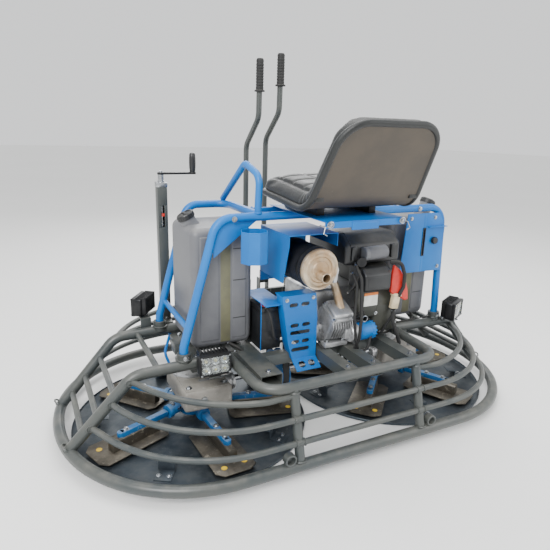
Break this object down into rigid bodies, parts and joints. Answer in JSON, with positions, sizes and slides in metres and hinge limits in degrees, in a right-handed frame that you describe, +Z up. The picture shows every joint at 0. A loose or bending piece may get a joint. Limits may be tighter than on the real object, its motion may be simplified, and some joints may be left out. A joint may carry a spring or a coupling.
{
  "type": "power trowel",
  "caption": "Ride-on concrete power trowel with two counter-rotating bladed rotors in a tubular guard cage, engine, seat, levers and pitch cranks.",
  "frame": {"origin": "on the floor under the middle of the guard ring", "axes": "+X to the operator's right along the ring, +Y to the front where the operator faces, +Z up"},
  "size_m": [2, 1.16, 1.464],
  "materials": {
    "guard_grey": "satin grey enamel on welded steel",
    "cover_grey": "light grey enamel on pressed steel",
    "frame_blue": "gloss sky-blue enamel",
    "tank_grey": "rotomoulded grey polyethylene",
    "black_plastic": "black moulded plastic",
    "black_vinyl": "black grained vinyl",
    "shell_brown": "grey-brown moulded seat pan",
    "cast_aluminium": "raw cast aluminium",
    "muffler_steel": "heat-tinted aluminised steel",
    "blade_steel": "oiled spring steel",
    "pan_steel": "dark rolled steel disc",
    "rubber": "black belt rubber",
    "zinc_steel": "zinc-plated tube with rubber grip"
  },
  "bodies": {
    "chassis": {"guard_ring": "guard_grey", "left_end_guard": "guard_grey", "right_end_guard": "guard_grey", "rear_guard": "guard_grey", "front_guard": "guard_grey", "main_frame": "guard_grey", "footplate": "guard_grey", "rear_hoop": "frame_blue", "left_side_frame": "frame_blue", "right_side_frame": "frame_blue", "cup_holder": "frame_blue", "rear_right_panel": "frame_blue", "left_tank": "tank_grey", "right_tank": "tank_grey", "engine_block": "cast_aluminium", "oil_filter": "frame_blue", "blower_housing": "black_plastic", "air_cleaner": "black_plastic", "muffler": "muffler_steel", "muffler_hood": "frame_blue", "belt_guard": "frame_blue", "battery": "black_plastic", "drive_belt": "rubber", "left_gearbox": "cover_grey", "right_gearbox": "cover_grey", "left_crank_tower": "guard_grey", "right_crank_tower": "guard_grey"},
    "seat": {"seat_plate": "frame_blue", "seat_shell": "shell_brown", "seat_cushion": "black_vinyl"},
    "clutch": {"clutch_pulley": "cast_aluminium"},
    "cross_drive": {"cross_shaft": "frame_blue"},
    "pedal": {"throttle_pedal": "guard_grey"},
    "left_control": {"left_lever": "zinc_steel"},
    "right_cross_block": {"lever_fork": "guard_grey"},
    "right_control": {"right_lever": "zinc_steel"},
    "left_rotor": {"left_spider": "frame_blue", "left_float_pan": "pan_steel"},
    "left_crank": {"left_pitch_crank": "black_plastic"},
    "left_crank_handle": {"left_crank_grip": "black_plastic"},
    "left_arm_1": {"left_blade_1": "blade_steel"},
    "left_arm_2": {"left_blade_2": "blade_steel"},
    "left_arm_3": {"left_blade_3": "blade_steel"},
    "left_arm_4": {"left_blade_4": "blade_steel"},
    "left_arm_5": {"left_blade_5": "blade_steel"},
    "left_filler": {"left_tank_cap": "black_plastic"},
    "right_rotor": {"right_spider": "frame_blue", "right_float_pan": "pan_steel"},
    "right_crank": {"right_pitch_crank": "black_plastic"},
    "right_crank_handle": {"right_crank_grip": "black_plastic"},
    "right_arm_1": {"right_blade_1": "blade_steel"},
    "right_arm_2": {"right_blade_2": "blade_steel"},
    "right_arm_3": {"right_blade_3": "blade_steel"},
    "right_arm_4": {"right_blade_4": "blade_steel"},
    "right_arm_5": {"right_blade_5": "blade_steel"},
    "right_filler": {"right_tank_cap": "black_plastic"},
    "rear_left_light": {"rear_left_lamp": "black_plastic"},
    "front_left_light": {"front_left_lamp": "black_plastic"},
    "rear_right_light": {"rear_right_lamp": "black_plastic"},
    "front_right_light": {"front_right_lamp": "black_plastic"}
  },
  "joints": [
    {"name": "seat_flip", "type": "hinge", "parent": "chassis", "child": "seat", "pos_m": [0.02, -0.03, 0.8565], "axis": [-1, 0, 0], "range_deg": [0, 60]},
    {"name": "left_rotor_spin", "type": "hinge", "parent": "chassis", "child": "left_rotor", "pos_m": [-0.477, -0.03, 0.06], "axis": [0, 0, 1], "continuous": true},
    {"name": "left_crank_turn", "type": "hinge", "parent": "chassis", "child": "left_crank", "pos_m": [-0.5, 0.265, 0.958], "axis": [0, 0, 1], "range_deg": [0, 1080]},
    {"name": "left_crank_grip_spin", "type": "hinge", "parent": "left_crank", "child": "left_crank_handle", "pos_m": [-0.365, 0.265, 0.97], "axis": [0, 0, 1], "continuous": true},
    {"name": "left_blade_pitch_1", "type": "hinge", "parent": "left_rotor", "child": "left_arm_1", "pos_m": [-0.477, -0.03, 0.07], "axis": [0.515, 0.8572, 0], "range_deg": [0, 6]},
    {"name": "left_blade_pitch_2", "type": "hinge", "parent": "left_rotor", "child": "left_arm_2", "pos_m": [-0.477, -0.03, 0.07], "axis": [-0.6561, 0.7547, 0], "range_deg": [0, 6]},
    {"name": "left_blade_pitch_3", "type": "hinge", "parent": "left_rotor", "child": "left_arm_3", "pos_m": [-0.477, -0.03, 0.07], "axis": [-0.9205, -0.3907, 0], "range_deg": [0, 6]},
    {"name": "left_blade_pitch_4", "type": "hinge", "parent": "left_rotor", "child": "left_arm_4", "pos_m": [-0.477, -0.03, 0.07], "axis": [0.0872, -0.9962, 0], "range_deg": [0, 6]},
    {"name": "left_blade_pitch_5", "type": "hinge", "parent": "left_rotor", "child": "left_arm_5", "pos_m": [-0.477, -0.03, 0.07], "axis": [0.9744, -0.225, 0], "range_deg": [0, 6]},
    {"name": "left_cap_turn", "type": "hinge", "parent": "chassis", "child": "left_filler", "pos_m": [-0.47489, -0.005, 0.81738], "axis": [-0.45, 0, 0.893], "range_deg": [0, 270]},
    {"name": "right_rotor_spin", "type": "hinge", "parent": "chassis", "child": "right_rotor", "pos_m": [0.477, -0.03, 0.06], "axis": [0, 0, 1], "continuous": true},
    {"name": "right_crank_turn", "type": "hinge", "parent": "chassis", "child": "right_crank", "pos_m": [0.5, 0.265, 0.958], "axis": [0, 0, 1], "range_deg": [0, 1080]},
    {"name": "right_crank_grip_spin", "type": "hinge", "parent": "right_crank", "child": "right_crank_handle", "pos_m": [0.365, 0.265, 0.97], "axis": [0, 0, 1], "continuous": true},
    {"name": "right_blade_pitch_1", "type": "hinge", "parent": "right_rotor", "child": "right_arm_1", "pos_m": [0.477, -0.03, 0.07], "axis": [0.9877, 0.1564, 0], "range_deg": [-6, 0]},
    {"name": "right_blade_pitch_2", "type": "hinge", "parent": "right_rotor", "child": "right_arm_2", "pos_m": [0.477, -0.03, 0.07], "axis": [0.1564, 0.9877, 0], "range_deg": [-6, 0]},
    {"name": "right_blade_pitch_3", "type": "hinge", "parent": "right_rotor", "child": "right_arm_3", "pos_m": [0.477, -0.03, 0.07], "axis": [-0.891, 0.454, 0], "range_deg": [-6, 0]},
    {"name": "right_blade_pitch_4", "type": "hinge", "parent": "right_rotor", "child": "right_arm_4", "pos_m": [0.477, -0.03, 0.07], "axis": [-0.7071, -0.7071, 0], "range_deg": [-6, 0]},
    {"name": "right_blade_pitch_5", "type": "hinge", "parent": "right_rotor", "child": "right_arm_5", "pos_m": [0.477, -0.03, 0.07], "axis": [0.454, -0.891, 0], "range_deg": [-6, 0]},
    {"name": "right_cap_turn", "type": "hinge", "parent": "chassis", "child": "right_filler", "pos_m": [0.60339, -0.1, 0.84417], "axis": [0.45, 0, 0.893], "range_deg": [0, 270]},
    {"name": "cross_shaft_spin", "type": "hinge", "parent": "chassis", "child": "cross_drive", "pos_m": [-0.135, -0.12, 0.185], "axis": [1, 0, 0], "continuous": true},
    {"name": "crankshaft_spin", "type": "hinge", "parent": "chassis", "child": "clutch", "pos_m": [-0.135, -0.12, 0.44], "axis": [1, 0, 0], "continuous": true},
    {"name": "left_lever_swing", "type": "hinge", "parent": "chassis", "child": "left_control", "pos_m": [-0.05, 0.43, 0.4], "axis": [1, 0, 0], "range_deg": [-10, 10]},
    {"name": "right_lever_swing", "type": "hinge", "parent": "chassis", "child": "right_cross_block", "pos_m": [0.05, 0.43, 0.4], "axis": [1, 0, 0], "range_deg": [-10, 10]},
    {"name": "right_lever_sway", "type": "hinge", "parent": "right_cross_block", "child": "right_control", "pos_m": [0.05, 0.43, 0.435], "axis": [0, 1, 0], "range_deg": [-3, 7]},
    {"name": "throttle_press", "type": "hinge", "parent": "chassis", "child": "pedal", "pos_m": [0.2, 0.4, 0.365], "axis": [1, 0, 0], "range_deg": [-22, 0], "stiffness_Nm_per_rad": 6, "springref_deg": 5.73},
    {"name": "rear_left_lamp_turn", "type": "hinge", "parent": "chassis", "child": "rear_left_light", "pos_m": [-0.465, -0.265, 0.345], "axis": [0, 0, 1], "range_deg": [-25, 25]},
    {"name": "front_left_lamp_turn", "type": "hinge", "parent": "chassis", "child": "front_left_light", "pos_m": [-0.6, 0.255, 0.415], "axis": [0, 0, 1], "range_deg": [-30, 30]},
    {"name": "rear_right_lamp_turn", "type": "hinge", "parent": "chassis", "child": "rear_right_light", "pos_m": [0.69, -0.245, 0.387], "axis": [0, 0, 1], "range_deg": [-12, 12]},
    {"name": "front_right_lamp_turn", "type": "hinge", "parent": "chassis", "child": "front_right_light", "pos_m": [0.69, 0.255, 0.415], "axis": [0, 0, 1], "range_deg": [-30, 30]}
  ],
  "couplings": [
    {"joint": "left_blade_pitch_1", "follows": "left_crank_turn", "ratio": 0.0055556},
    {"joint": "left_blade_pitch_2", "follows": "left_crank_turn", "ratio": 0.0055556},
    {"joint": "left_blade_pitch_3", "follows": "left_crank_turn", "ratio": 0.0055556},
    {"joint": "left_blade_pitch_4", "follows": "left_crank_turn", "ratio": 0.0055556},
    {"joint": "left_blade_pitch_5", "follows": "left_crank_turn", "ratio": 0.0055556},
    {"joint": "right_blade_pitch_1", "follows": "right_crank_turn", "ratio": -0.0055556},
    {"joint": "right_blade_pitch_2", "follows": "right_crank_turn", "ratio": -0.0055556},
    {"joint": "right_blade_pitch_3", "follows": "right_crank_turn", "ratio": -0.0055556},
    {"joint": "right_blade_pitch_4", "follows": "right_crank_turn", "ratio": -0.0055556},
    {"joint": "right_blade_pitch_5", "follows": "right_crank_turn", "ratio": -0.0055556},
    {"joint": "right_rotor_spin", "follows": "left_rotor_spin", "ratio": -1},
    {"joint": "cross_shaft_spin", "follows": "left_rotor_spin", "ratio": 20},
    {"joint": "crankshaft_spin", "follows": "left_rotor_spin", "ratio": 28.727}
  ]
}
